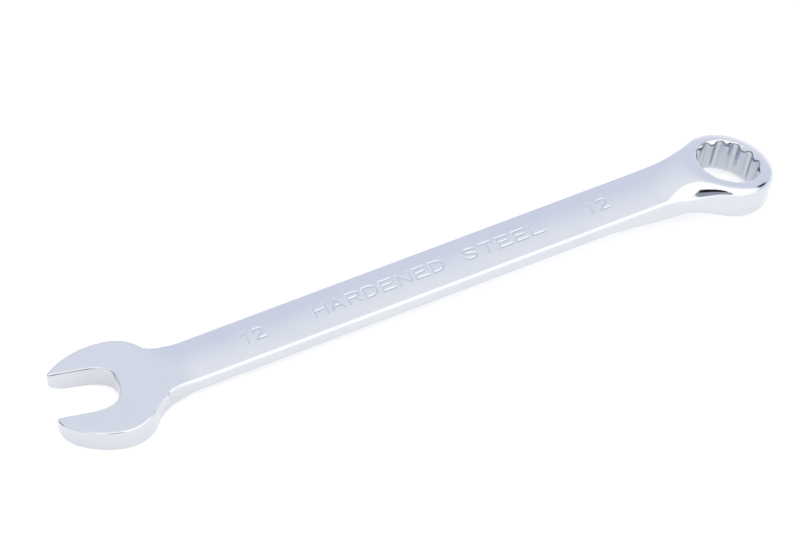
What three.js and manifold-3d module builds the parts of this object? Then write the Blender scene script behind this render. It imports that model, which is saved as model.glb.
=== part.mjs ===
// Combination wrench, 12 mm: one drop forging in chromium vanadium steel, chrome plated and polished.
// The forging is modelled as its three zones, which meet on two flat cross-cuts of the shank.
// Built along +X (open end to ring), the shank's middle plane at z = 0, then laid on the bench. Millimetres.
import * as THREE from 'three';
import { mergeVertices } from 'three/addons/utils/BufferGeometryUtils.js';
import Module from 'manifold-3d';

// ---- sizes that stand alone ----
const NUT_ACROSS_FLATS = 12;      // the hexagon both ends turn
const JAW_CLEARANCE = 0.1;        // opening wider than the nut
const RING_CLEARANCE = 0.12;      // ring wider than the nut, across flats
const CENTRE_TO_CENTRE = 146.8;   // nut in the jaws to nut in the ring, along the shank

const HEAD_ANGLE = 15;            // degrees the jaws are turned in plan
const HEAD_THICKNESS = 4.9;       // at the nut's centre
const HEAD_TAPER = 0.015;         // each face leans in by this much per mm towards the tips
const HEAD_HALF_WIDTH = 13.2;     // widest place, from the jaws' own axis
const WIDEST_BACK = 5.4;          // widest place, behind the nut's centre
const JAW_SIDE_RADIUS = 16.5;     // outside of each jaw
const SHOULDER_RADIUS = 8.6;      // behind the widest place
const FAR_FILLET = 4;             // shoulder into the shank, on the far jaw's side
const NEAR_FILLET = 9;            // and on the near jaw's side
const TIP_RADIUS = 0.85;
const THROAT_DEPTH = 6.8;         // nut's centre to the bottom of the throat
const THROAT_RADIUS = 8.4;
const THROAT_CORNER = 2.4;
const HEAD_EDGE = 0.35;           // edge break on the head's faces
const LAND_RADIUS = 17;           // the raised flat face ends this far from the nut's centre

const SHANK_WIDTH = 12;
const SHANK_THICKNESS = 4.4;
const SHANK_EDGE_RADIUS = 1.8;

const RING_TILT = 15;             // degrees the ring leans down towards its tip
const RING_OUTER_RADIUS = 10.2;
const RING_THICKNESS = 7.6;
const RING_EDGE_RADIUS = 1;
const RING_DROP = 3;              // ring's centre below the shank's middle plane
const CREST_OVER_FLAT = 0.44;     // tooth crest's radius beyond the half across flats
const GROOVE_OVER_CORNER = 0.12;  // groove's radius beyond the nut's corner
const CREST_HALF_ANGLE = 6.2;     // degrees
const GROOVE_HALF_ANGLE = 3.4;    // degrees
const MOUTH_OVER_GROOVE = 0.27;   // chamfered mouth's radius beyond the groove
const MOUTH_SLOPE = 1.15;         // chamfer's depth over its width

const HEAD_ZONE = 30;             // nut's centre to the cross-cut behind the open end
const NECK_ZONE = 34;             // cross-cut before the ring to the ring's centre
const NECK_FILLET = 14;            // neck into the ring, in plan
const NECK_RISE = 0.6;            // neck's top above the shank's at the ring
const NECK_RISE_POWER = 4;        // 1 rises evenly along the neck, more keeps it for the ring
const NECK_DROP = 2.2;            // neck's underside below the shank's at the ring
const NECK_DROP_POWER = 1.3;      // the same for the underside

// ---- sizes that follow ----
const rad = THREE.MathUtils.degToRad;
const halfGap = (NUT_ACROSS_FLATS + JAW_CLEARANCE) / 2;
const shankHalf = SHANK_WIDTH / 2;
const shankTop = SHANK_THICKNESS / 2;
// the middle of the head's outline lies on the shank's axis, which sets the nut's centre to one side
const nutOffset = WIDEST_BACK * Math.sin(rad(HEAD_ANGLE));
const crestRadius = (NUT_ACROSS_FLATS + RING_CLEARANCE) / 2 + CREST_OVER_FLAT;
const grooveRadius = NUT_ACROSS_FLATS / 2 / Math.cos(rad(30)) + GROOVE_OVER_CORNER;
const mouthRadius = grooveRadius + MOUTH_OVER_GROOVE;

const wasm = await Module();
wasm.setup();

/** A point of the jaws' own axes (s out of the mouth, n towards the far jaw) in the wrench's plan. */
function fromJaw([s, n], side = 1) {
  const a = rad(HEAD_ANGLE);
  return new THREE.Vector2(
    -s * Math.cos(a) + side * n * Math.sin(a),
    nutOffset + s * Math.sin(a) + side * n * Math.cos(a),
  );
}

/** Points on the arc from a to b about c, the short way round; a itself is left out. */
function arc(c, a, b, stepDegrees = 7) {
  const from = Math.atan2(a.y - c.y, a.x - c.x);
  let turn = Math.atan2(b.y - c.y, b.x - c.x) - from;
  turn = Math.atan2(Math.sin(turn), Math.cos(turn));
  const radius = a.distanceTo(c);
  const steps = Math.max(2, Math.ceil(Math.abs(turn) / rad(stepDegrees)));
  return Array.from({ length: steps }, (_, i) => {
    const t = from + (turn * (i + 1)) / steps;
    return new THREE.Vector2(c.x + radius * Math.cos(t), c.y + radius * Math.sin(t));
  });
}

/** The shoulder, and the fillet that runs from it to the shank's edge, on one side of the head. */
function shoulderFillet(side) {
  const radius = side > 0 ? FAR_FILLET : NEAR_FILLET;
  const shoulder = fromJaw([-WIDEST_BACK, HEAD_HALF_WIDTH - SHOULDER_RADIUS], side);
  const y = side * (shankHalf + radius);
  const reach = SHOULDER_RADIUS + radius;
  const fillet = new THREE.Vector2(shoulder.x + Math.sqrt(reach ** 2 - (y - shoulder.y) ** 2), y);
  const join = shoulder.clone().lerp(fillet, SHOULDER_RADIUS / reach);
  return { shoulder, fillet, join, radius };
}

/** One side of the head's outline, from the back of the raised face round to the bottom of the throat. */
function headSide(side) {
  const { shoulder, fillet, join } = shoulderFillet(side);
  const at = (p) => fromJaw(p, side);
  const widest = at([-WIDEST_BACK, HEAD_HALF_WIDTH]);

  // the fillet is followed as far as the back of the raised face
  const nut = fromJaw([0, 0]);
  const landEnd = arc(fillet, join, new THREE.Vector2(fillet.x, side * shankHalf), 1)
    .find((p) => p.distanceTo(nut) > LAND_RADIUS);

  // the tip is tangent to the jaw's side and to its face
  const flank = [-WIDEST_BACK, HEAD_HALF_WIDTH - JAW_SIDE_RADIUS];
  const tipN = halfGap + TIP_RADIUS;
  const toTip = JAW_SIDE_RADIUS - TIP_RADIUS;
  const tip = [flank[0] + Math.sqrt(toTip ** 2 - (tipN - flank[1]) ** 2), tipN];
  const grow = JAW_SIDE_RADIUS / toTip;
  const tipStart = [flank[0] + (tip[0] - flank[0]) * grow, flank[1] + (tipN - flank[1]) * grow];

  // the throat is a shallow arc with a tighter corner at each jaw
  const throat = [THROAT_RADIUS - THROAT_DEPTH, 0];
  const cornerN = halfGap - THROAT_CORNER;
  const toCorner = THROAT_RADIUS - THROAT_CORNER;
  const corner = [throat[0] - Math.sqrt(toCorner ** 2 - cornerN ** 2), cornerN];
  const spread = THROAT_RADIUS / toCorner;
  const cornerEnd = [throat[0] + (corner[0] - throat[0]) * spread, cornerN * spread];

  return [
    landEnd,
    ...arc(fillet, landEnd, join),
    ...arc(shoulder, join, widest),
    ...arc(at(flank), widest, at(tipStart), 4),
    ...arc(at(tip), at(tipStart), at([tip[0], halfGap]), 18),
    at([corner[0], halfGap]),
    ...arc(at(corner), at([corner[0], halfGap]), at(cornerEnd), 12),
    ...arc(at(throat), at(cornerEnd), at([-THROAT_DEPTH, 0])),
  ];
}

/** The raised flat faces and the jaws: the outline, with broken edges, thinning towards the tips. */
function headPlate() {
  const near = headSide(-1);
  const far = headSide(1);
  const back = arc(fromJaw([0, 0]), far[0], near[0], 3);
  const outline = new THREE.Shape([...near, ...far.slice(0, -1).reverse(), ...back.slice(0, -1)]);
  const geometry = new THREE.ExtrudeGeometry(outline, {
    depth: HEAD_THICKNESS - 2 * HEAD_EDGE,
    bevelThickness: HEAD_EDGE,
    bevelSize: HEAD_EDGE,
    bevelOffset: -HEAD_EDGE,
    bevelSegments: 2,
  });
  geometry.translate(0, 0, HEAD_EDGE - HEAD_THICKNESS / 2);
  const position = geometry.getAttribute('position');
  const mouth = fromJaw([1, 0]).sub(fromJaw([0, 0]));
  for (let i = 0; i < position.count; i++) {
    const s = position.getX(i) * mouth.x + (position.getY(i) - nutOffset) * mouth.y;
    position.setZ(i, position.getZ(i) * (1 - (2 * HEAD_TAPER * s) / HEAD_THICKNESS));
  }
  return toSolid(geometry);
}

/** A rounded rectangle across the shank at x. */
function section(x, [yLow, yHigh], [zLow, zHigh], r) {
  const corners = [
    [yHigh - r, zHigh - r, 0],
    [yLow + r, zHigh - r, 90],
    [yLow + r, zLow + r, 180],
    [yHigh - r, zLow + r, 270],
  ];
  return corners.flatMap(([y, z, start]) => [0, 15, 30, 45, 60, 75, 90].map((step) => {
    const a = rad(start + step);
    return new THREE.Vector3(x, y + r * Math.cos(a), z + r * Math.sin(a));
  }));
}

const shankSection = (x) => section(x, [-shankHalf, shankHalf], [-shankTop, shankTop], SHANK_EDGE_RADIUS);

/** A closed body through rings of points, with a fan across each end. */
function loft(rings) {
  const count = rings[0].length;
  const middle = (ring) => ring.reduce((sum, p) => sum.add(p), new THREE.Vector3()).divideScalar(count);
  const points = [...rings.flat(), middle(rings[0]), middle(rings.at(-1))];
  const first = rings.length * count;
  const last = first - count;
  const index = [];
  for (let j = 0; j < count; j++) {
    const next = (j + 1) % count;
    index.push(first, next, j, first + 1, last + j, last + next);
    for (let i = 0; i + 1 < rings.length; i++) {
      const a = i * count;
      const b = a + count;
      index.push(a + j, a + next, b + next, a + j, b + next, b + j);
    }
  }
  const geometry = new THREE.BufferGeometry().setFromPoints(points);
  geometry.setIndex(index);
  return toSolid(geometry);
}

/** Circle or toothed ring of points at height z, about the ring's own axis. */
const circle = (z, radiusAt, angles) => angles.map((degrees) => {
  const radius = radiusAt(degrees);
  return new THREE.Vector3(radius * Math.cos(rad(degrees)), radius * Math.sin(rad(degrees)), z);
});

function toSolid(geometry) {
  geometry.deleteAttribute('normal');
  geometry.deleteAttribute('uv');
  const welded = mergeVertices(geometry, 1e-5);
  return new wasm.Manifold(new wasm.Mesh({
    numProp: 3,
    vertProperties: Float32Array.from(welded.getAttribute('position').array),
    triVerts: Uint32Array.from(welded.getIndex().array),
  }));
}

function openEnd() {
  // behind the raised face the fillets narrow to the shank while its edges grow rounder
  const sides = [-1, 1].map(shoulderFillet);
  const yAt = (x, i) => {
    const { fillet, radius } = sides[i];
    const dx = Math.min(x - fillet.x, 0);
    return fillet.y - Math.sign(fillet.y) * Math.sqrt(radius ** 2 - dx ** 2);
  };
  const start = Math.max(sides[0].join.x, sides[1].join.x) + 0.2;
  const end = Math.max(sides[0].fillet.x, sides[1].fillet.x) + 2;
  const rings = [];
  for (let i = 0; i <= 8; i++) {
    const t = i / 8;
    const x = start + (end - start) * t;
    const edge = HEAD_EDGE + (SHANK_EDGE_RADIUS - HEAD_EDGE) * t * t * (3 - 2 * t);
    rings.push(section(x, [yAt(x, 0), yAt(x, 1)], [-shankTop, shankTop], edge));
  }
  rings.push(shankSection(HEAD_ZONE));
  return headPlate().add(loft(rings));
}

const shank = () => loft([shankSection(HEAD_ZONE), shankSection(CENTRE_TO_CENTRE - NECK_ZONE)]);

/** The neck, lofted from the shank into the ring's wall. */
function neck() {
  const filletX = Math.sqrt((RING_OUTER_RADIUS + NECK_FILLET) ** 2 - (shankHalf + NECK_FILLET) ** 2);
  const wallX = (filletX * RING_OUTER_RADIUS) / (RING_OUTER_RADIUS + NECK_FILLET);
  const steps = 14;
  const rings = [shankSection(CENTRE_TO_CENTRE - NECK_ZONE)];
  for (let i = 1; i <= steps; i++) {
    const t = i / steps;
    const back = NECK_ZONE + (wallX - NECK_ZONE) * t ** 0.7;
    const half = shankHalf + NECK_FILLET - Math.sqrt(NECK_FILLET ** 2 - Math.min(back - filletX, 0) ** 2);
    const along = (NECK_ZONE - back) / (NECK_ZONE - wallX);
    const z = [-shankTop - NECK_DROP * along ** NECK_DROP_POWER, shankTop + NECK_RISE * along ** NECK_RISE_POWER];
    const edge = SHANK_EDGE_RADIUS + (RING_EDGE_RADIUS - SHANK_EDGE_RADIUS) * along ** NECK_RISE_POWER;
    rings.push(section(CENTRE_TO_CENTRE - back, [-half, half], z, edge));
  }
  return loft(rings);
}

function ringEnd() {
  const half = RING_THICKNESS / 2;
  const round = Array.from({ length: 72 }, (_, i) => i * 5);
  const rimSteps = [0, 22.5, 45, 67.5, 90];
  const rim = rimSteps.map((a) => [
    RING_OUTER_RADIUS - RING_EDGE_RADIUS * (1 - Math.sin(rad(a))),
    half - RING_EDGE_RADIUS * (1 - Math.cos(rad(a))),
  ]);
  const wall = [...rim.map(([r, z]) => [r, -z]), ...rim.reverse()];
  const body = loft(wall.map(([r, z]) => circle(z, () => r, round)));

  // twelve grooves take the nut's corners; between them the tooth crests stand clear of its flats
  const toothAngles = [];
  for (let tooth = 0; tooth < 12; tooth++) {
    const a = tooth * 30;
    toothAngles.push(
      a - CREST_HALF_ANGLE, a, a + CREST_HALF_ANGLE,
      a + 15 - GROOVE_HALF_ANGLE, a + 15 + GROOVE_HALF_ANGLE,
    );
  }
  const profile = (degrees) => {
    const fromCrest = Math.abs(((degrees + 15) % 30 + 30) % 30 - 15);
    return fromCrest <= CREST_HALF_ANGLE + 1e-6 ? crestRadius : grooveRadius;
  };
  const bore = loft([-1, 1].map((sign) => circle(sign * (half + 1), profile, toothAngles)));

  const toRow = new THREE.Matrix4()
    .makeRotationY(rad(RING_TILT))
    .setPosition(CENTRE_TO_CENTRE, 0, -RING_DROP);
  const solid = body.transform(toRow.elements).add(neck());
  const cuts = [bore];
  const depth = (mouthRadius - crestRadius) * MOUTH_SLOPE;
  for (const sign of [-1, 1]) {
    const cone = [
      [half + 0.5, mouthRadius + 0.5 / MOUTH_SLOPE],
      [half - depth, crestRadius],
      [half - depth - 0.2, crestRadius - 0.2],
    ];
    const rings = cone.map(([z, r]) => circle(sign * z, () => r, round));
    cuts.push(loft(sign > 0 ? rings.reverse() : rings));
  }
  return cuts.reduce((left, cut) => left.subtract(cut.transform(toRow.elements)), solid);
}

/** How far the wrench pitches about Y to rest on the jaws' tips and the ring's lower edge. */
function benchPitch(meshes) {
  let pitch = 0;
  const point = new THREE.Vector3();
  for (let round = 0; round < 6; round++) {
    const low = [new THREE.Vector3(0, 0, Infinity), new THREE.Vector3(0, 0, Infinity)];
    for (const { geometry } of meshes) {
      const position = geometry.getAttribute('position');
      for (let i = 0; i < position.count; i++) {
        point.fromBufferAttribute(position, i).applyAxisAngle(new THREE.Vector3(0, 1, 0), pitch);
        const end = point.x < CENTRE_TO_CENTRE / 2 ? 0 : 1;
        if (point.z < low[end].z) low[end].copy(point);
      }
    }
    pitch += Math.atan2(low[1].z - low[0].z, low[1].x - low[0].x);
  }
  return pitch;
}

const chrome = new THREE.MeshStandardMaterial({ color: 0xd3d8e4, roughness: 0.12, metalness: 1 });
chrome.name = 'chrome_plate';

const group = new THREE.Group();
group.name = 'combination_wrench';
for (const [name, solid] of [['open_end_head', openEnd()], ['shank', shank()], ['ring_head', ringEnd()]]) {
  const { vertProperties, triVerts } = solid.getMesh();
  const geometry = new THREE.BufferGeometry();
  geometry.setAttribute('position', new THREE.BufferAttribute(vertProperties, 3));
  geometry.setIndex(new THREE.BufferAttribute(triVerts, 1));
  const mesh = new THREE.Mesh(geometry, chrome);
  mesh.name = name;
  group.add(mesh);
}

const pitch = benchPitch(group.children);
for (const { geometry } of group.children) geometry.rotateY(pitch);
const box = new THREE.Box3().setFromObject(group);
const centre = box.getCenter(new THREE.Vector3());
for (const { geometry } of group.children) {
  geometry.translate(-centre.x, -centre.y, -box.min.z);
  geometry.computeVertexNormals();
}

export default group;
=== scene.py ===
"""Looks of the combination wrench: one polished, chrome plated forging in a single skin.

The forging is described as one implicit surface in millimetres, along a centre line that bends with the
open end (in plan) and with the ring (in elevation). It is skinned on a grid that follows the same line, so
the jaw faces, the shank and the socket walls run with the mesh. The one skin stands for the three packed
zones, which are cut from the same forging.
"""
import logging
import math
from dataclasses import dataclass, field
from typing import Sequence

import bpy
import numpy as np
from mathutils import Matrix, Vector


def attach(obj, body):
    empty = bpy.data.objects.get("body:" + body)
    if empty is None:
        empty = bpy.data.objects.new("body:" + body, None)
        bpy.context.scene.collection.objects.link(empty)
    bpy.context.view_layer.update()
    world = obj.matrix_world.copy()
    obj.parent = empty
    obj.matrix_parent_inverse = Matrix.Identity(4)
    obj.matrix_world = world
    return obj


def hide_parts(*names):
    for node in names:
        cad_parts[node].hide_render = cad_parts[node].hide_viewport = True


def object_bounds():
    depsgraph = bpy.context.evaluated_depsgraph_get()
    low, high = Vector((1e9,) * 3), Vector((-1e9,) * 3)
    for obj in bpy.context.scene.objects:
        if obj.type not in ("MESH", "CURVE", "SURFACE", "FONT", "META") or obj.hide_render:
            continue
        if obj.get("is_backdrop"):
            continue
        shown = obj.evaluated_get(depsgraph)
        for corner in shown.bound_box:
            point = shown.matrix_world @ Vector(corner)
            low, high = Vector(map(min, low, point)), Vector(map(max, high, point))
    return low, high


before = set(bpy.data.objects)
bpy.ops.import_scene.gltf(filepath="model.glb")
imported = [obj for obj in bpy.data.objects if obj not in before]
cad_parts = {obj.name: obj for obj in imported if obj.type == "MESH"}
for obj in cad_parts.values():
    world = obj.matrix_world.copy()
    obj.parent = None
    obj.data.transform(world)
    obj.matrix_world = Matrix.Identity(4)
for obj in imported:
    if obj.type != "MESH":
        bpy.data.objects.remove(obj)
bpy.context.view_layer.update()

LOG = logging.getLogger("combination_wrench")
MM = 0.001
Array = np.ndarray


# ---------------------------------------------------------------- implicit solids

def round_cut(a: Array, b: Array, radius: Array | float) -> Array:
    """What two solids share, with the edge between them rounded.

    Args:
        a: distances to the first solid, negative inside.
        b: distances to the second solid.
        radius: the edge's radius, where they meet at a right angle.

    Returns:
        Distances to the common solid.
    """
    inner = np.minimum(np.maximum(a, b), -radius)
    return inner + np.hypot(np.maximum(a + radius, 0), np.maximum(b + radius, 0))


def soft_union(a: Array, b: Array, reach: float) -> Array:
    """Two solids joined with a small blend.

    Args:
        a: distances to the first solid.
        b: distances to the second solid.
        reach: how far apart the two surfaces start to blend.

    Returns:
        Distances to the joined solid.
    """
    mix = np.clip(0.5 + 0.5 * (b - a) / reach, 0, 1)
    return b + (a - b) * mix - reach * mix * (1 - mix)


def ease(t: Array) -> Array:
    """Runs smoothly from 0 to 1 as t does."""
    t = np.clip(t, 0, 1)
    return t * t * (3 - 2 * t)


def rise(at: Array, run: tuple[float, float]) -> Array:
    """Smoothly from 0 where a run of places starts to 1 where it ends."""
    return ease((at - run[0]) / (run[1] - run[0]))


def corner_fillet(x: Array, y: Array, hub: Sequence[float], hub_radius: float, edge: float, radius: float,
                  side: int, ahead: int, depth: float) -> Array:
    """The web of metal between a round shoulder and a straight edge, in plan.

    Args:
        x: places along the straight edge.
        y: places across it.
        hub: centre of the shoulder's circle.
        hub_radius: the shoulder's radius.
        edge: distance of the straight edge from the axis.
        radius: radius of the fillet.
        side: 1 for the far edge, -1 for the near edge.
        ahead: 1 if the edge runs towards +X from the shoulder, -1 if towards -X.
        depth: how far the web reaches into the metal.

    Returns:
        Distances to the web, negative inside it.
    """
    centre_y = side * (edge + radius)
    reach = hub_radius + radius
    centre_x = hub[0] + ahead * math.sqrt(reach ** 2 - (centre_y - hub[1]) ** 2)
    to_hub = ((hub[0] - centre_x) / reach, (hub[1] - centre_y) / reach)
    qx, qy = x - centre_x, y - centre_y
    turn = side * ahead
    hub_side = -turn * (to_hub[0] * qy - to_hub[1] * qx)
    edge_side = -turn * (qx * -side)
    far = np.hypot(qx, qy)
    return np.maximum(np.maximum(radius - far, far - radius - depth), np.maximum(hub_side, edge_side))


# ---------------------------------------------------------------- sizes, in millimetres

@dataclass(frozen=True)
class OpenEnd:
    """The head with the two jaws, in its own plan axes: s out of the mouth and n towards the far jaw."""

    angle: float = math.radians(15)
    half_gap: float = 6.05
    half_width: float = 13.2
    widest_back: float = 5.4
    far_back: float = 6.0
    far_trim: float = 0.3
    side_radius: float = 16.5
    far_side_radius: float = 17.6
    shoulder_radius: float = 8.6
    far_fillet: float = 4.0
    near_fillet: float = 9.0
    near_top_fillet: float = 15.0
    web_depth: float = 4.0
    tip_radius: float = 0.85
    throat_depth: float = 6.8
    throat_radius: float = 8.4
    throat_corner: float = 2.4
    half_thickness: float = 2.45
    taper: float = 0.015
    edge: float = 0.38
    land_centre: tuple[float, float] = (-11.9, 0.76)
    land_radius: float = 27.65
    land_step: float = 0.25
    land_fillet: float = 25.0
    land_fade: float = 7.0
    land_proud: float = 0.03
    nose_edge: float = 0.5
    nose_under_edge: float = 1.8
    nose_radius: float = 1.6
    far_reach: float = 8.2
    near_reach: float = 7.4
    nose_run: tuple[float, float] = (3.8, 7.2)
    crisp_run: tuple[float, float] = (-4.0, 0.0)
    upper_run: tuple[float, float] = (-0.8, 1.4)
    land_inset: float = 0.4
    land_blend: float = 0.1
    bar_start: float = 9.0

    @property
    def nut_offset(self) -> float:
        """How far the nut's centre stands to the far side of the shank's axis."""
        return self.widest_back * math.sin(self.angle)

    def jaw_axes(self, x: Array, y: Array) -> tuple[Array, Array]:
        """The wrench's plan place (x, y) in the jaws' axes (s, n)."""
        c, s = math.cos(self.angle), math.sin(self.angle)
        dy = y - self.nut_offset
        return -x * c + dy * s, x * s + dy * c

    def outline(self, x: Array, y: Array, shank_half: float, near_fillet: float) -> Array:
        """Plan distances to the head with its fillets and the start of the shank.

        Args:
            x: places along the wrench from the nut's centre.
            y: places across it.
            shank_half: half the shank's width.
            near_fillet: radius of the fillet on the near side.

        Returns:
            Distances, negative inside the metal.
        """
        s, n = self.jaw_axes(x, y)
        an = np.abs(n)
        side_n = an + self.far_trim * (n > 0)
        ahead = s + np.where(n > 0, self.far_back, self.widest_back)
        flank = np.where(n > 0, self.far_side_radius, self.side_radius)
        front = np.hypot(ahead, side_n + flank - self.half_width) - flank
        waist = np.maximum(side_n - (self.half_width - self.shoulder_radius), 0)
        back = np.hypot(ahead, waist) - self.shoulder_radius
        blank = np.where(ahead > 0, front, back)
        from_throat = s - (self.throat_radius - self.throat_depth)
        bowl = np.where(from_throat < 0, np.hypot(from_throat, n), an) - self.throat_radius
        gap = round_cut(an - self.half_gap, bowl, self.throat_corner)
        nose = s - np.where(n > 0, self.far_reach, self.near_reach)
        plan = round_cut(round_cut(blank, nose, self.nose_radius), -gap, self.tip_radius)
        plan = np.minimum(plan, np.maximum(np.abs(y) - shank_half, self.bar_start - x))
        inner = self.half_width - self.shoulder_radius
        sides = ((1, self.far_back, inner - self.far_trim, self.far_fillet),
                 (-1, self.widest_back, inner, near_fillet))
        c, sine = math.cos(self.angle), math.sin(self.angle)
        for side, back_at, out, fillet in sides:
            hub = (back_at * c + side * out * sine, self.nut_offset - back_at * sine + side * out * c)
            web = corner_fillet(x, y, hub, self.shoulder_radius, shank_half, fillet, side, 1,
                                self.web_depth)
            plan = np.minimum(plan, web)
        return plan


@dataclass(frozen=True)
class Shank:
    """The flat bar between the ends, slightly crowned on both faces."""

    half_width: float = 6.0
    half_thickness: float = 2.24
    crown: float = 0.7
    edge: float = 0.62
    head_cut: float = 30.0
    ring_cut: float = 112.8

    def face(self, y: Array) -> Array:
        """Height of the crowned face above the middle plane."""
        return self.half_thickness - self.crown * np.clip(y / self.half_width, -1, 1) ** 2


@dataclass(frozen=True)
class Ring:
    """The tilted ring and its neck, in the ring's own axes: u along, v across and w along the socket."""

    tilt: float = math.radians(15)
    centre_x: float = 146.8
    drop: float = 3.0
    outer_radius: float = 10.3
    half_thickness: float = 3.87
    crown: float = 0.35
    crown_run: tuple[float, float] = (7.2, 12.6)
    edge: float = 1.6
    crest_radius: float = 6.5
    groove_radius: float = 7.048
    point: float = math.radians(30)
    crest_angle: float = math.radians(3.8)
    groove_angle: float = math.radians(11.6)
    mouth_radius: float = 7.1
    mouth_slope: float = 1.4
    mouth_blend: float = 0.25
    socket_break: float = 0.2
    wall_lean: float = 0.85
    neck_fillets: tuple[float, float] = (18.0, 28.0)
    web_depth: float = 9.0
    bar_overlap: float = 5.0
    neck_edge: float = 3.4
    far_neck_edge: float = 1.6
    under_edge: float = 1.8
    side_run: tuple[float, float] = (2.0, 5.0)
    neck_run: tuple[float, float] = (4.5, 11.0)
    shank_run: tuple[float, float] = (11.5, 17.5)
    top_run: tuple[float, float] = (9.3, 18.5)
    scoop_run: tuple[float, float] = (9.2, 15.0)
    scoop_from: tuple[float, float] = (math.radians(6), math.radians(50))
    scoop_fade: tuple[float, float] = (1.5, 5.5)
    under_run: tuple[float, float] = (11.5, 34.0)

    def fold(self, angle: Array) -> Array:
        """How far an angle is from the middle of the nearest crest."""
        return np.abs((angle + self.point / 2) % self.point - self.point / 2)

    def profile(self, angle: Array) -> Array:
        """Radius of the twelve-point socket.

        Args:
            angle: angles round the socket.

        Returns:
            The radius at each angle.
        """
        step = np.clip((self.fold(angle) - self.crest_angle) / (self.groove_angle - self.crest_angle), 0, 1)
        return self.crest_radius + (self.groove_radius - self.crest_radius) * step

    def socket(self, u: Array, v: Array, w: Array) -> Array:
        """The air in the socket and its two chamfered mouths.

        Args:
            u: places along the ring's axis.
            v: places across it.
            w: places along the socket.

        Returns:
            Distances, negative in the air.
        """
        reach = np.hypot(u, v)
        bore = (reach - self.profile(np.arctan2(v, u))) * self.wall_lean
        depth = (self.mouth_radius - self.crest_radius) * self.mouth_slope
        cone = self.crest_radius + (np.abs(w) - self.half_thickness + depth) / self.mouth_slope
        lean = self.mouth_slope / math.hypot(1, self.mouth_slope)
        return soft_union(bore, (reach - cone) * lean, self.mouth_blend)


# ---------------------------------------------------------------- centre line

class CentreLine:
    """The line that the forging is drawn along: the axes of jaws, shank and ring, with two even bends."""

    HALF_BEND_HEAD = 3.4
    HALF_BEND_RING = 4.0
    STEP = 0.02
    MARGIN = 14.0

    def __init__(self, head: OpenEnd, ring: Ring) -> None:
        """Finds the bends from the sizes of the two ends.

        Args:
            head: the open end.
            ring: the ring end.
        """
        tangent = self.HALF_BEND_HEAD * math.tan(head.angle / 2) / (head.angle / 2)
        self.yaw = head.angle
        start = head.widest_back - tangent
        self.head_bend = (start, start + 2 * self.HALF_BEND_HEAD)
        corner = head.widest_back * math.cos(head.angle)
        self.shank_shift = self.head_bend[1] - (corner + tangent)
        tangent = self.HALF_BEND_RING * math.tan(ring.tilt / 2) / (ring.tilt / 2)
        self.pitch = ring.tilt
        run = ring.drop / math.sin(ring.tilt)
        start = ring.centre_x - run * math.cos(ring.tilt) - tangent + self.shank_shift
        self.ring_bend = (start, start + 2 * self.HALF_BEND_RING)
        self.ring_a = self.ring_bend[1] + run - tangent
        self.samples = np.arange(-self.MARGIN, self.ring_a + self.MARGIN, self.STEP)
        self.angles = self._angles(self.samples)
        ahead = np.stack([
            np.cos(self.angles[0]) * np.cos(self.angles[1]),
            -np.sin(self.angles[0]),
            -np.sin(self.angles[1]),
        ], 1)
        steps = (ahead[1:] + ahead[:-1]) / 2 * self.STEP
        line = np.vstack([np.zeros(3), np.cumsum(steps, 0)])
        at_nut = np.array([np.interp(0, self.samples, line[:, k]) for k in range(3)])
        self.line = line - at_nut + np.array([0, head.nut_offset, 0])

    def _angles(self, a: Array) -> tuple[Array, Array]:
        """How the line is turned.

        Args:
            a: places along it.

        Returns:
            The yaw and the pitch at each place.
        """
        yaw = self.yaw * np.clip((self.head_bend[1] - a) / (2 * self.HALF_BEND_HEAD), 0, 1)
        pitch = self.pitch * np.clip((a - self.ring_bend[0]) / (2 * self.HALF_BEND_RING), 0, 1)
        return yaw, pitch

    def axes(self, a: Array) -> tuple[Array, Array, Array]:
        """Directions along, across and above the line.

        Args:
            a: places along it.

        Returns:
            The three directions, a row for each place.
        """
        yaw, pitch = self._angles(a)
        zero = np.zeros_like(a)
        along = np.stack([np.cos(yaw) * np.cos(pitch), -np.sin(yaw), -np.sin(pitch)], 1)
        across = np.stack([np.sin(yaw), np.cos(yaw), zero], 1)
        above = np.stack([np.sin(pitch), zero, np.cos(pitch)], 1)
        return along, across, above

    def stretch(self, a: Array, b: Array, c: Array) -> Array:
        """How much longer a step along the line is at some distance from it.

        Args:
            a: places along the line.
            b: places across it.
            c: places above it.

        Returns:
            The ratio of the lengths.
        """
        in_head = (a > self.head_bend[0]) & (a < self.head_bend[1])
        in_ring = (a > self.ring_bend[0]) & (a < self.ring_bend[1])
        yaw_rate = np.where(in_head, -self.yaw / (2 * self.HALF_BEND_HEAD), 0)
        pitch_rate = np.where(in_ring, self.pitch / (2 * self.HALF_BEND_RING), 0)
        return 1 + b * yaw_rate + c * pitch_rate

    def place(self, a: Array, b: Array, c: Array) -> Array:
        """Centre-line places in the wrench's own axes.

        Args:
            a: places along the line.
            b: places across it.
            c: places above it.

        Returns:
            A row of three for each place.
        """
        _, across, above = self.axes(a)
        line = np.stack([np.interp(a, self.samples, self.line[:, k]) for k in range(3)], 1)
        return line + across * b[:, None] + above * c[:, None]


# ---------------------------------------------------------------- lettering

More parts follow.
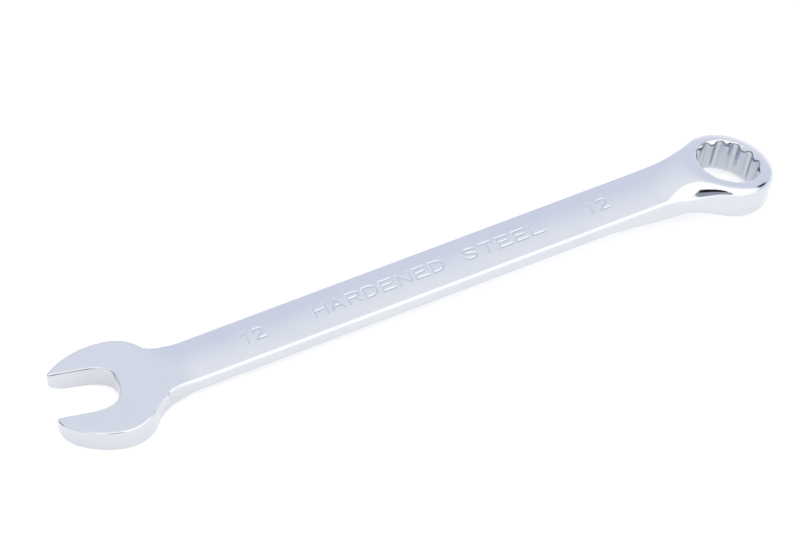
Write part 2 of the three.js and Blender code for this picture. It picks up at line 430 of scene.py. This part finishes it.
class Glyphs:
    """Plain single-stroke capitals and digits, on a grid 4 wide and 6 high."""

    GRID_WIDTH = 4
    GRID_HEIGHT = 6
    STROKES: dict[str, str] = {
        "1": "0.8,4.8 2,6 2,0",
        "2": "0.2,4.6 0.8,5.7 2,6 3.2,5.7 3.8,4.6 3.4,3.5 0.2,0 3.9,0",
        "A": "0,0 2,6 4,0|0.7,2 3.3,2",
        "D": "0,0 0,6 2,6 3.3,5.4 4,4 4,2 3.3,0.6 2,0 0,0",
        "E": "4,0 0,0 0,6 4,6|0,3 3.2,3",
        "H": "0,0 0,6|4,0 4,6|0,3 4,3",
        "L": "0,6 0,0 3.8,0",
        "N": "0,0 0,6 4,0 4,6",
        "R": "0,0 0,6 2.6,6 3.7,5.5 4,4.5 3.7,3.4 2.6,2.9 0,2.9|2.2,2.9 4,0",
        "S": "3.9,4.9 3.2,5.7 2,6 0.8,5.7 0.1,4.7 0.6,3.6 3.4,2.5 3.9,1.4 3.2,0.3 2,0 0.8,0.3 0.1,1.2",
        "T": "2,0 2,6|0,6 4,6",
    }

    @classmethod
    def segments(cls, text: str, centre: float, height: float, pitch: float, width: float) -> list[tuple]:
        """Straight strokes of one line of text.

        Args:
            text: the characters; a space leaves a gap.
            centre: middle of the line along the wrench.
            height: height of a capital.
            pitch: distance from one character to the next.
            width: width of a character.

        Returns:
            (x0, y0, x1, y1) for each stroke.
        """
        made = []
        start = centre - (len(text) - 1) * pitch / 2 - width / 2
        for place, letter in enumerate(text):
            for stroke in cls.STROKES.get(letter, "").split("|") if letter != " " else []:
                points = [tuple(map(float, pair.split(","))) for pair in stroke.split()]
                left = start + place * pitch
                placed = [(left + px / cls.GRID_WIDTH * width, (py / cls.GRID_HEIGHT - 0.5) * height)
                          for px, py in points]
                made += [(*p, *q) for p, q in zip(placed, placed[1:])]
        return made


@dataclass(frozen=True)
class Lettering:
    """Size numbers and plain words struck into the shank's upper face."""

    words: str = "HARDENED STEEL"
    height: float = 2.8
    half_stroke: float = 0.42
    depth: float = 0.16
    shift: float = -0.15
    lowest: float = 1.2
    margin: float = 1.0
    size_mark: str = "12"
    number_pitch: float = 2.9
    number_width: float = 2.3
    word_pitch: float = 3.86
    word_width: float = 2.7
    near_open: float = 36.4
    words_at: float = 76.8
    near_ring: float = 116.1

    def segments(self) -> Array:
        """All strokes of the two size numbers and the words.

        Returns:
            (x0, y0, x1, y1) for each stroke.
        """
        number = (self.height, self.number_pitch, self.number_width)
        rows = Glyphs.segments(self.size_mark, self.near_open, *number)
        rows += Glyphs.segments(self.words, self.words_at, self.height, self.word_pitch, self.word_width)
        rows += Glyphs.segments(self.size_mark, self.near_ring, *number)
        return np.array(rows)

    def groove(self, x: Array, y: Array) -> Array:
        """How deep the struck strokes are at a place on the face, from 0 to 1.

        Args:
            x: places along the wrench.
            y: places across it.

        Returns:
            1 along the middle of a stroke, falling to 0 at its edges.
        """
        near = np.full(x.shape, np.inf)
        band = np.abs(y - self.shift) < self.height / 2 + self.margin
        for x0, y0, x1, y1 in self.segments():
            hit = band & (x > min(x0, x1) - self.margin) & (x < max(x0, x1) + self.margin)
            if not hit.any():
                continue
            px, py = x[hit] - x0, y[hit] - self.shift - y0
            dx, dy = x1 - x0, y1 - y0
            t = np.clip((px * dx + py * dy) / (dx * dx + dy * dy), 0, 1)
            near[hit] = np.minimum(near[hit], np.hypot(px - t * dx, py - t * dy))
        return 0.5 + 0.5 * np.cos(np.pi * np.clip(near / self.half_stroke, 0, 1))


# ---------------------------------------------------------------- the forging

class Forging:
    """The whole wrench as one implicit surface on its centre line."""

    ZONE_LAP = 1.0
    NORMAL_STEP = 0.012
    SETTLE_STEP = 0.01
    LEAST_SLOPE = 0.2
    LONGEST_MOVE = 0.25

    def __init__(self, head: OpenEnd, shank: Shank, ring: Ring, letters: Lettering) -> None:
        """Keeps the sizes and draws the centre line.

        Args:
            head: the open end.
            shank: the bar.
            ring: the ring end.
            letters: what is struck into the upper face.
        """
        self.head, self.shank, self.ring, self.letters = head, shank, ring, letters
        self.line = CentreLine(head, ring)

    def distance(self, a: Array, b: Array, c: Array) -> Array:
        """Distances to the metal, each zone from its own shape.

        Args:
            a: places along the centre line.
            b: places across it.
            c: places above it.

        Returns:
            Distances, negative inside the metal.
        """
        out = np.empty_like(a)
        x = a - self.line.shank_shift
        ring_from = self.shank.ring_cut - self.ZONE_LAP
        zones = (
            (x < self.shank.head_cut, self._open_end),
            ((x >= self.shank.head_cut) & (x < ring_from), self._shank),
            (x >= ring_from, self._ring_end),
        )
        for mask, shape in zones:
            if mask.any():
                out[mask] = shape(a[mask], b[mask], c[mask])
        return out

    def _open_end(self, a: Array, b: Array, c: Array) -> Array:
        """The jaws, the raised face and the fillets into the shank.

        Args:
            a: places along the centre line.
            b: places across it.
            c: places above it.

        Returns:
            Distances, negative inside the metal.
        """
        head = self.head
        place = self.line.place(a, b, np.zeros_like(c))
        x, y = place[:, 0], place[:, 1]
        s, _ = head.jaw_axes(x, y)
        past_land = np.hypot(x - head.land_centre[0], y - head.land_centre[1]) - head.land_radius
        thick = head.half_thickness - head.taper * s
        nose_edge = np.where(c > 0, head.nose_edge, head.nose_under_edge)
        crisp = head.edge + (nose_edge - head.edge) * rise(s, head.nose_run)
        edge = crisp + (self.shank.edge - crisp) * rise(past_land, head.crisp_run)
        raised = ease(1 - past_land / head.land_fade)
        web_thick = self.shank.face(y) + (thick - head.land_proud - self.shank.face(y)) * raised
        narrow = head.outline(x, y, self.shank.half_width, head.near_fillet)
        upper = rise(c, head.upper_run)
        wide = head.outline(x, y, self.shank.half_width, head.near_top_fillet)
        web = round_cut(narrow + (wide - narrow) * upper, np.abs(c) - web_thick, edge)
        wide = head.outline(x, y, self.shank.half_width - head.land_inset, head.land_fillet)
        land = narrow + (wide - narrow) * upper
        land = round_cut(land, past_land, head.land_step)
        land = round_cut(land, np.abs(c) - thick, crisp)
        return soft_union(web, land, head.land_blend)

    def _shank(self, a: Array, b: Array, c: Array) -> Array:
        """The plain bar with its struck lettering.

        Args:
            a: places along the centre line.
            b: places across it.
            c: places above it.

        Returns:
            Distances, negative inside the metal.
        """
        bar = round_cut(np.abs(b) - self.shank.half_width, np.abs(c) - self.shank.face(b), self.shank.edge)
        return bar + self._struck(a, b, c)

    def _struck(self, a: Array, b: Array, c: Array) -> Array:
        """The lettering, on the upper face only.

        Args:
            a: places along the centre line.
            b: places across it.
            c: places above it.

        Returns:
            How deep it is at each place.
        """
        deep = np.zeros_like(a)
        upper = c > self.letters.lowest
        if upper.any():
            x = a[upper] - self.line.shank_shift
            deep[upper] = self.letters.depth * self.letters.groove(x, b[upper])
        return deep

    def _ring_end(self, a: Array, b: Array, c: Array) -> Array:
        """The neck, the ring and its twelve-point socket.

        Args:
            a: places along the centre line.
            b: places across it.
            c: places above it.

        Returns:
            Distances, negative inside the metal.
        """
        ring, shank = self.ring, self.shank
        u = a - self.line.ring_a
        reach = np.hypot(u, b)
        bar = np.maximum(np.abs(b) - shank.half_width, u + ring.bar_overlap)
        plan = np.minimum(reach - ring.outer_radius, bar)
        for side, fillet in zip((1, -1), ring.neck_fillets):
            web = corner_fillet(u, b, (0, 0), ring.outer_radius, shank.half_width, fillet, side, -1,
                                ring.web_depth)
            plan = np.minimum(plan, web)
        aside = np.arctan2(np.abs(b), -u)
        scoop = rise(aside, ring.scoop_from) * (b < 0)
        run_start = ring.top_run[0] + (ring.scoop_run[0] - ring.top_run[0]) * scoop
        run_end = ring.top_run[1] + (ring.scoop_run[1] - ring.top_run[1]) * scoop
        behind = rise(-u, ring.scoop_fade)
        top_blend = rise(reach, (run_start, run_end)) * behind
        rim = ring.half_thickness - ring.crown * rise(reach, ring.crown_run)
        top = rim + (shank.face(b) - rim) * top_blend
        under_blend = rise(reach, ring.under_run)
        under = ring.half_thickness + (shank.face(b) - ring.half_thickness) * under_blend
        neck_edge = ring.far_neck_edge + (ring.neck_edge - ring.far_neck_edge) * rise(-b, ring.side_run)
        body = round_cut(plan, c - top, self._edge(u, ring.edge, neck_edge))
        body = round_cut(body, -under - c, self._edge(u, ring.under_edge, ring.under_edge))
        body = body + self._struck(a, b, c)
        return round_cut(body, -ring.socket(u, b, c), ring.socket_break)

    def _edge(self, u: Array, rim: float, neck: Array | float) -> Array:
        """Edge radius from the shank, through the neck's widest, to the ring.

        Args:
            u: places along the ring's axis.
            rim: the radius round the ring.
            neck: the radius at the neck.

        Returns:
            The radius at each place.
        """
        to_neck = rise(-u, self.ring.neck_run)
        to_shank = rise(-u, self.ring.shank_run)
        return rim + (neck - rim) * to_neck + (self.shank.edge - neck) * to_shank

    def normals(self, a: Array, b: Array, c: Array) -> Array:
        """Outward directions of the surface.

        Args:
            a: places along the centre line.
            b: places across it.
            c: places above it.

        Returns:
            A row for each place, in the wrench's own axes.
        """
        grad = self.gradient(a, b, c, self.NORMAL_STEP)
        along, across, above = self.line.axes(a)
        grad[:, 0] /= self.line.stretch(a, b, c)
        out = along * grad[:, :1] + across * grad[:, 1:2] + above * grad[:, 2:]
        return out / np.linalg.norm(out, axis=1, keepdims=True)

    def gradient(self, a: Array, b: Array, c: Array, eps: float) -> Array:
        """Slopes of the distance along the line's three directions.

        Args:
            a: places along the centre line.
            b: places across it.
            c: places above it.
            eps: how far to each side the slope is taken.

        Returns:
            A row of three for each place.
        """
        return np.stack([
            self.distance(a + eps, b, c) - self.distance(a - eps, b, c),
            self.distance(a, b + eps, c) - self.distance(a, b - eps, c),
            self.distance(a, b, c + eps) - self.distance(a, b, c - eps),
        ], 1) / (2 * eps)

    def settle(self, points: Array, rounds: int = 5) -> Array:
        """Moves points on to the surface along its own slope.

        Args:
            points: rows of centre-line places near the surface.
            rounds: how many times they are moved.

        Returns:
            The moved rows.
        """
        points = points.copy()
        for _ in range(rounds):
            a, b, c = points.T
            value = self.distance(a, b, c)
            grad = self.gradient(a, b, c, self.SETTLE_STEP)
            size = np.maximum((grad ** 2).sum(1), self.LEAST_SLOPE)
            points -= np.clip(value / size, -self.LONGEST_MOVE, self.LONGEST_MOVE)[:, None] * grad
        return points


# ---------------------------------------------------------------- skinning

@dataclass(frozen=True)
class Band:
    """One stretch of the skin's grid: up to an end, at a step."""

    end: float
    step: float

    @staticmethod
    def ticks(start: float, bands: Sequence["Band"]) -> Array:
        """Grid places through each band in turn.

        Args:
            start: the first place.
            bands: the stretches after it.

        Returns:
            The places, in order.
        """
        places = [start]
        for band in bands:
            count = max(1, round((band.end - places[-1]) / band.step))
            places += list(np.linspace(places[-1], band.end, count + 1)[1:])
        return np.array(places)

    @staticmethod
    def mirrored(bands: Sequence["Band"]) -> Array:
        """Grid places on both sides of 0."""
        half = Band.ticks(0.0, bands)
        return np.concatenate([-half[:0:-1], half])


@dataclass
class Skin:
    """Turns the forging into a quad mesh: one vertex per grid cell that the surface passes through."""

    forging: Forging
    across: tuple[Band, ...] = (Band(2.4, 0.2), Band(5.2, 0.4), Band(6.8, 0.16), Band(14.2, 0.3))
    above: tuple[Band, ...] = (Band(1.2, 0.4), Band(3.0, 0.15), Band(4.6, 0.2))
    start: float = -10.0
    head_end: float = 24.0
    number_reach: float = 4.0
    last_number_reach: float = 3.5
    words_reach: float = 27.0
    ring_reach: float = 11.0
    end_step: float = 0.25
    plain_step: float = 0.6
    struck_step: float = 0.17
    socket_step: float = 0.2
    parts: int = 12
    wall_ends: tuple[float, float] = (-0.25, 0.05)
    mouth_fade: tuple[float, float] = (0.55, 1.05)
    # half width of the painted shade band along each flute's edge
    flank_shade_half: float = math.radians(3.2)

    def along(self) -> Array:
        """Grid places along the centre line, closer where there is lettering or an end.

        Returns:
            The places, in order.
        """
        letters, line = self.forging.letters, self.forging.line
        first, words = letters.near_open + line.shank_shift, letters.words_at + line.shank_shift
        bands = (
            Band(self.head_end, self.end_step),
            Band(first - self.number_reach, self.plain_step),
            Band(first + self.number_reach, self.struck_step),
            Band(words - self.words_reach, self.plain_step),
            Band(words + self.words_reach, self.struck_step),
            Band(self.forging.shank.ring_cut + line.shank_shift, self.plain_step),
            Band(letters.near_ring + self.last_number_reach + line.shank_shift, self.struck_step),
            Band(line.ring_a - self.ring_reach, self.end_step),
            Band(line.ring_a + self.ring_reach, self.socket_step),
        )
        return Band.ticks(self.start, bands)

    def cells(self) -> tuple[Array, Array]:
        """Finds the cells that the surface passes through.

        Returns:
            The vertices in centre-line places, and the quads as rows of vertex numbers.
        """
        axes = (self.along(), Band.mirrored(self.across), Band.mirrored(self.above))
        shape = tuple(len(axis) for axis in axes)
        grid = np.stack(np.meshgrid(*axes, indexing="ij"), -1).reshape(-1, 3)
        parts = np.array_split(grid, self.parts)
        values = np.concatenate([self.forging.distance(*part.T) for part in parts]).reshape(shape)
        inside = values < 0
        total = np.zeros(tuple(n - 1 for n in shape) + (3,))
        count = np.zeros(tuple(n - 1 for n in shape))
        crossed = []
        for axis in range(3):
            low = [slice(None)] * 3
            high = [slice(None)] * 3
            low[axis], high[axis] = slice(None, -1), slice(1, None)
            edge = inside[tuple(low)] != inside[tuple(high)]
            at = np.argwhere(edge)
            v0 = values[tuple(low)][edge]
            v1 = values[tuple(high)][edge]
            t = v0 / (v0 - v1)
            places = np.stack([axes[k][at[:, k]] for k in range(3)], 1)
            places[:, axis] += t * (axes[axis][at[:, axis] + 1] - axes[axis][at[:, axis]])
            side, up = (axis + 1) % 3, (axis + 2) % 3
            for ds in (0, 1):
                for du in (0, 1):
                    cell = at.copy()
                    cell[:, side] -= ds
                    cell[:, up] -= du
                    np.add.at(total, tuple(cell.T), places)
                    np.add.at(count, tuple(cell.T), 1)
            crossed.append((axis, at, inside[tuple(low)][edge]))
        used = count > 0
        number = np.full(count.shape, -1)
        number[used] = np.arange(used.sum())
        points = total[used] / count[used][:, None]
        quads = []
        for axis, at, leaving in crossed:
            side, up = (axis + 1) % 3, (axis + 2) % 3
            loop = []
            for ds, du in ((0, 0), (1, 0), (1, 1), (0, 1)):
                cell = at.copy()
                cell[:, side] -= ds
                cell[:, up] -= du
                loop.append(number[tuple(cell.T)])
            loop = np.stack(loop, 1)
            loop[~leaving] = loop[~leaving][:, ::-1]
            quads.append(loop)
        return points, np.concatenate(quads)

    def mesh(self, name: str, to_row: "Placement") -> bpy.types.Mesh:
        """Builds the mesh in the row frame, with true surface normals and the colour masks, one of them
        painted shade.

        Args:
            name: the mesh's name.
            to_row: where the wrench lies in the row frame.

        Returns:
            The mesh.
        """
        points, quads = self.cells()
        points = self.forging.settle(points)
        normals = self.forging.normals(*points.T)
        placed = self.forging.line.place(*points.T)
        mesh = bpy.data.meshes.new(name)
        mesh.from_pydata(to_row.points(placed).tolist(), [], quads.tolist())
        mesh.polygons.foreach_set("use_smooth", np.ones(len(mesh.polygons), bool))
        mesh.normals_split_custom_set_from_vertices(to_row.directions(normals).tolist())
        for mask, amounts in self.masks(points).items():
            layer = mesh.attributes.new(mask, "FLOAT", "POINT")
            layer.data.foreach_set("value", amounts.astype(np.float32))
        return mesh

    def masks(self, points: Array) -> dict[str, Array]:
        """How much of each colour mask a vertex has: socket walls, painted shade along the flutes, and
        struck marks.

        Args:
            points: the vertices in centre-line places.

        Returns:
            Amounts from 0 to 1, by the finish's name.
        """
        forging = self.forging
        a, b, c = points.T
        x = a - forging.line.shank_shift
        reach = np.hypot(a - forging.line.ring_a, b)
        ring = forging.ring
        wall = (1 - rise(reach - ring.mouth_radius, self.wall_ends)) * (x > forging.shank.ring_cut)
        wall = wall * rise(ring.half_thickness - np.abs(c), self.mouth_fade)
        # painted shade: a dark band along each flute's edge, where the wall turns into the groove bottom
        fold = ring.fold(np.arctan2(b, a - forging.line.ring_a))
        flank = 1 - ease(np.abs(fold - ring.groove_angle) / self.flank_shade_half)
        upper = (c > forging.letters.lowest) & (x > forging.shank.head_cut)
        struck = np.where(upper, forging.letters.groove(x, b), 0)
        return {"socket_wall": wall, "flank": flank * wall, "struck": struck}


# ---------------------------------------------------------------- shader maths

class Level:
    """A value in a node tree; sums, products and the like add Math nodes."""

    def __init__(self, book: "NodeBook", socket: bpy.types.NodeSocket) -> None:
        """Wraps an output socket.

        Args:
            book: the tree that the socket is in.
            socket: the socket.
        """
        self.book, self.socket = book, socket

    def _math(self, operation: str, *values: "Level | float") -> "Level":
        """One Math node on these values."""
        node = self.book.add("ShaderNodeMath", {"operation": operation}, dict(enumerate(values)))
        return Level(self.book, node.outputs[0])

    def __add__(self, other: "Level | float") -> "Level":
        """self + other."""
        return self._math("ADD", self, other)

    __radd__ = __add__

    def __sub__(self, other: "Level | float") -> "Level":
        """self - other."""
        return self._math("SUBTRACT", self, other)

    def __rsub__(self, other: "Level | float") -> "Level":
        """other - self."""
        return self._math("SUBTRACT", other, self)

    def __mul__(self, other: "Level | float") -> "Level":
        """self * other."""
        return self._math("MULTIPLY", self, other)

    __rmul__ = __mul__

    def ramp(self, low: float, high: float) -> "Level":
        """Smoothly from 0 to 1.

        Args:
            low: the value that gives 0.
            high: the value that gives 1.

        Returns:
            The smoothed value.
        """
        node = self.book.add("ShaderNodeMapRange", {"interpolation_type": "SMOOTHSTEP"},
                             {"Value": self, "From Min": low, "From Max": high})
        return Level(self.book, node.outputs[0])


class NodeBook:
    """Adds nodes to one tree."""

    def __init__(self, tree: bpy.types.NodeTree) -> None:
        """Empties the tree."""
        self.tree = tree
        tree.nodes.clear()

    def add(self, kind: str, settings: dict | None = None, inputs: dict | None = None) -> bpy.types.Node:
        """Adds one node.

        Args:
            kind: the node's type.
            settings: its settings, put in first.
            inputs: values or links for its sockets, by name or number.

        Returns:
            The node.
        """
        node = self.tree.nodes.new(kind)
        for name, value in (settings or {}).items():
            setattr(node, name, value)
        for name, value in (inputs or {}).items():
            socket = node.inputs[name]
            source = value.socket if isinstance(value, Level) else value
            if isinstance(source, bpy.types.NodeSocket):
                self.tree.links.new(source, socket)
            else:
                socket.default_value = source
        return node

    def mask(self, name: str) -> Level:
        """The colour mask of that name on the mesh."""
        return Level(self, self.add("ShaderNodeAttribute", {"attribute_name": name}).outputs["Fac"])

    def noise(self, vector: bpy.types.NodeSocket, scale: float, detail: float) -> Level:
        """Soft noise about 0.5."""
        node = self.add("ShaderNodeTexNoise", None, {"Vector": vector, "Scale": scale, "Detail": detail})
        return Level(self, node.outputs["Fac"])

    def blend(self, amount: "Level | float", low: object, high: object) -> bpy.types.NodeSocket:
        """A colour between two, by an amount."""
        node = self.add("ShaderNodeMix", {"data_type": "RGBA"}, {0: amount, 6: low, 7: high})
        return node.outputs[2]


@dataclass(frozen=True)
class ChromePlate:
    """Bright chrome over polished steel, rougher and darker down in the socket and in the struck marks,
    with painted shade along the socket's flutes.
    """

    bright: tuple[float, float, float] = (0.60, 0.617, 0.643)
    warm: tuple[float, float, float] = (0.58, 0.60, 0.632)
    tooth: tuple[float, float, float] = (0.54, 0.57, 0.64)
    # painted shade: the dark colour laid along the edges of the socket's flutes
    flank: tuple[float, float, float] = (0.20, 0.22, 0.28)
    mark: tuple[float, float, float] = (0.52, 0.535, 0.57)
    roughness: float = 0.075
    haze: float = 0.05
    wall_roughness: float = 0.12
    mark_roughness: float = 0.04
    line_roughness: float = 0.02
    haze_scale: float = 85.0
    haze_detail: float = 3.0
    drawn_out: tuple[float, float, float] = (90.0, 2600.0, 2600.0)
    polish_scale: float = 1.0
    polish_detail: float = 4.0
    polish_depth: float = 0.0000012
    grain_scale: float = 2400.0
    grain_detail: float = 2.0
    grain_share: float = 0.4
    mark_share: float = 0.75
    warm_run: tuple[float, float] = (0.35, 0.7)
    haze_run: tuple[float, float] = (0.4, 0.75)
    line_run: tuple[float, float] = (0.5, 0.8)
    grain_run: tuple[float, float] = (0.1, 0.5)
    bump_strength: float = 0.5

    def material(self) -> bpy.types.Material:
        """Builds the plate.

        Returns:
            The material.
        """
        made = bpy.data.materials.new("chrome_plate")
        made.use_nodes = True
        book = NodeBook(made.node_tree)
        spot = book.add("ShaderNodeTexCoord").outputs["Object"]
        drawn = book.add("ShaderNodeMapping", None, {"Vector": spot, "Scale": self.drawn_out}).outputs[0]
        cloud = book.noise(spot, self.haze_scale, self.haze_detail)
        lines = book.noise(drawn, self.polish_scale, self.polish_detail)
        grain = book.noise(spot, self.grain_scale, self.grain_detail)
        wall, struck = book.mask("socket_wall"), book.mask("struck")
        colour = book.blend(cloud.ramp(*self.warm_run), (*self.bright, 1), (*self.warm, 1))
        colour = book.blend(struck * self.mark_share, colour, (*self.mark, 1))
        # painted shade along the flute edges, broken up a little by the fine grain
        shaded = book.mask("flank") * grain.ramp(*self.grain_run)
        bore = book.blend(shaded, (*self.tooth, 1), (*self.flank, 1))
        colour = book.blend(wall, colour, bore)
        rough = cloud.ramp(*self.haze_run) * self.haze + lines.ramp(*self.line_run) * self.line_roughness
        rough = rough + self.roughness + wall * self.wall_roughness + struck * self.mark_roughness
        height = lines * self.polish_depth + grain * (self.polish_depth * self.grain_share)
        bump = book.add("ShaderNodeBump", None, {
            "Strength": self.bump_strength, "Distance": 1.0, "Height": height,
        })
        shader = book.add("ShaderNodeBsdfPrincipled", None, {
            "Base Color": colour, "Metallic": 1.0, "Roughness": rough, "Normal": bump.outputs[0],
        })
        book.add("ShaderNodeOutputMaterial", None, {"Surface": shader.outputs[0]})
        return made


@dataclass(frozen=True)
class MattePaper:
    """The pale sheet under the wrench, lit a little from behind so that shadows on it stay faint."""

    colour: tuple[float, float, float] = (0.70, 0.70, 0.705)
    glow: float = 0.48

    def material(self) -> bpy.types.Material:
        """Builds the paper.

        Returns:
            The material.
        """
        made = bpy.data.materials.new("pale_paper")
        made.use_nodes = True
        book = NodeBook(made.node_tree)
        sheet = book.add("ShaderNodeBsdfDiffuse", None, {"Color": (*self.colour, 1)})
        lit = book.add("ShaderNodeEmission", None, {"Strength": self.glow})
        both = book.add("ShaderNodeAddShader", None, {0: sheet.outputs[0], 1: lit.outputs[0]})
        book.add("ShaderNodeOutputMaterial", None, {"Surface": both.outputs[0]})
        return made


# ---------------------------------------------------------------- the piece

@dataclass
class Placement:
    """Where the wrench's own axes lie in the row frame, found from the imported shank."""

    origin: Array
    along: Array
    across: Array = field(default_factory=lambda: np.array([0.0, 1.0, 0.0]))

    CUT_DEPTH = 0.3

    @classmethod
    def from_shank(cls, node: bpy.types.Object, shank: Shank) -> "Placement":
        """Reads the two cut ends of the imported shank.

        Args:
            node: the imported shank.
            shank: its sizes.

        Returns:
            The placement.
        """
        places = np.array([tuple(v.co) for v in node.data.vertices]) / MM
        ends = []
        for low in (True, False):
            x = places[:, 0] if low else -places[:, 0]
            cut = places[x < x.min() + cls.CUT_DEPTH]
            ends.append((cut.min(0) + cut.max(0)) / 2)
        along = (ends[1] - ends[0]) / np.linalg.norm(ends[1] - ends[0])
        middle = (ends[0] + ends[1]) / 2
        return cls(middle - along * (shank.head_cut + shank.ring_cut) / 2, along)

    @property
    def axes(self) -> Array:
        """The wrench's axes as rows."""
        return np.stack([self.along, self.across, np.cross(self.along, self.across)])

    def points(self, places: Array) -> Array:
        """Places in the wrench's millimetres to the row frame's metres."""
        return (self.origin + places @ self.axes) * MM

    def directions(self, rows: Array) -> Array:
        """Directions in the wrench's axes to the row frame."""
        return rows @ self.axes


@dataclass
class CombinationWrench:
    """The one forged piece: open end, shank and ring under one chrome plate."""

    head: OpenEnd = field(default_factory=OpenEnd)
    shank: Shank = field(default_factory=Shank)
    ring: Ring = field(default_factory=Ring)
    letters: Lettering = field(default_factory=Lettering)
    plate: ChromePlate = field(default_factory=ChromePlate)
    nodes: tuple[str, ...] = ("open_end_head", "shank", "ring_head")

    def build(self, placement: Placement) -> bpy.types.Object:
        """Skins the forging.

        Args:
            placement: where the wrench lies.

        Returns:
            The visible piece.
        """
        forging = Forging(self.head, self.shank, self.ring, self.letters)
        mesh = Skin(forging).mesh("wrench_forging", placement)
        piece = bpy.data.objects.new("wrench_forging", mesh)
        bpy.context.collection.objects.link(piece)
        self.dress(piece)
        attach(piece, "root")
        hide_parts(*self.nodes)
        return piece

    def dress(self, piece: bpy.types.Object) -> None:
        """Plates the piece."""
        piece.data.materials.append(self.plate.material())


# ---------------------------------------------------------------- studio

@dataclass(frozen=True)
class Glow:
    """A soft patch of the surroundings: where it is, how wide, and its light."""

    towards: tuple[float, float, float]
    full: float
    gone: float
    light: tuple[float, float, float]


@dataclass
class Studio:
    """A pale floor, soft light all round with a few dark corners, and the camera."""

    floor_radius: float = 4.0
    floor_sides: int = 96
    paper: MattePaper = field(default_factory=MattePaper)
    far_light: tuple[float, float, float] = (0.99, 1.03, 1.18)
    glows: tuple[Glow, ...] = (
        Glow((0.05, 0.1, 1.0), 5, 50, (1.22, 1.24, 1.30)),
        Glow((0.70, 0.70, 0.12), 8, 18, (1.40, 1.40, 1.42)),
        Glow((0.12, -0.75, 0.65), 42, 60, (1.68, 1.66, 1.63)),
        Glow((-0.35, -0.87, 0.36), 13, 17, (0.45, 0.48, 0.56)),
        Glow((-0.31, -0.77, 0.57), 6, 10, (0.01, 0.01, 0.015)),
        Glow((0.90, -0.05, 0.42), 7, 12, (0.02, 0.02, 0.03)),
        Glow((-0.90, 0.35, 0.27), 11, 22, (0.02, 0.02, 0.03)),
    )
    lens: float = 221.78
    azimuth: float = 24.537
    elevation: float = 44.991
    roll: float = -2.653
    distance: float = 1000.288
    aim: tuple[float, float] = (63.428, 26.734)
    sight: float = 30.0

    def lay_floor(self, height: float) -> bpy.types.Object:
        """Lays the floor under the wrench.

        Args:
            height: where the wrench's lowest point is.

        Returns:
            The floor.
        """
        mesh = bpy.data.meshes.new("studio_floor")
        turns = [2 * math.pi * k / self.floor_sides for k in range(self.floor_sides)]
        rim = [(self.floor_radius * math.cos(t), self.floor_radius * math.sin(t), height) for t in turns]
        mesh.from_pydata(rim, [], [tuple(range(self.floor_sides))])
        mesh.materials.append(self.paper.material())
        floor = bpy.data.objects.new("studio_floor", mesh)
        bpy.context.collection.objects.link(floor)
        floor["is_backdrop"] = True
        return floor

    def light(self) -> None:
        """Lights the surroundings by direction."""
        bpy.context.scene.view_settings.view_transform = "Standard"
        world = bpy.data.worlds.new("studio_light")
        bpy.context.scene.world = world
        world.use_nodes = True
        book = NodeBook(world.node_tree)
        towards = book.add("ShaderNodeTexCoord").outputs["Generated"]
        colour: object = (*self.far_light, 1)
        for glow in self.glows:
            axis = Vector(glow.towards).normalized()
            ends = {0: towards, 1: tuple(axis)}
            facing = book.add("ShaderNodeVectorMath", {"operation": "DOT_PRODUCT"}, ends).outputs["Value"]
            gone, full = math.cos(math.radians(glow.gone)), math.cos(math.radians(glow.full))
            colour = book.blend(Level(book, facing).ramp(gone, full), colour, (*glow.light, 1))
        back = book.add("ShaderNodeBackground", None, {"Color": colour})
        book.add("ShaderNodeOutputWorld", None, {"Surface": back.outputs[0]})

    def set_camera(self, placement: Placement, nut_offset: float) -> None:
        """Stands the camera where the whole wrench is seen from its near side.

        Args:
            placement: where the wrench lies.
            nut_offset: the nut's distance from the shank's axis.
        """
        az, el, roll = (math.radians(v) for v in (self.azimuth, self.elevation, self.roll))
        level = np.array([math.cos(az), -math.sin(az), 0])
        ahead = np.array([math.sin(az) * math.cos(el), math.cos(az) * math.cos(el), -math.sin(el)])
        upright = np.cross(level, ahead)
        right = level * math.cos(roll) + upright * math.sin(roll)
        up = upright * math.cos(roll) - level * math.sin(roll)
        place = self.aim[0] * right + self.aim[1] * up - self.distance * ahead
        spot = placement.points((place + np.array([0, nut_offset, 0]))[None])[0]
        turn = placement.directions(np.stack([right, up, -ahead]))
        camera = bpy.data.objects.new("camera", bpy.data.cameras.new("camera"))
        camera.data.lens = self.lens
        camera.data.clip_end = self.sight
        camera.matrix_world = Matrix.Translation(Vector(spot)) @ Matrix(turn.tolist()).transposed().to_4x4()
        bpy.context.collection.objects.link(camera)
        bpy.context.scene.camera = camera


def main() -> None:
    """Builds the wrench and its studio."""
    wrench = CombinationWrench()
    placement = Placement.from_shank(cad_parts["shank"], wrench.shank)
    piece = wrench.build(placement)
    LOG.info("%s: %d faces", piece.name, len(piece.data.polygons))
    studio = Studio()
    LOG.info("%s laid", studio.lay_floor(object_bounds()[0].z).name)
    studio.light()
    studio.set_camera(placement, wrench.head.nut_offset)


if __name__ == "__main__":
    logging.basicConfig(level=logging.INFO, format="%(message)s")
    main()
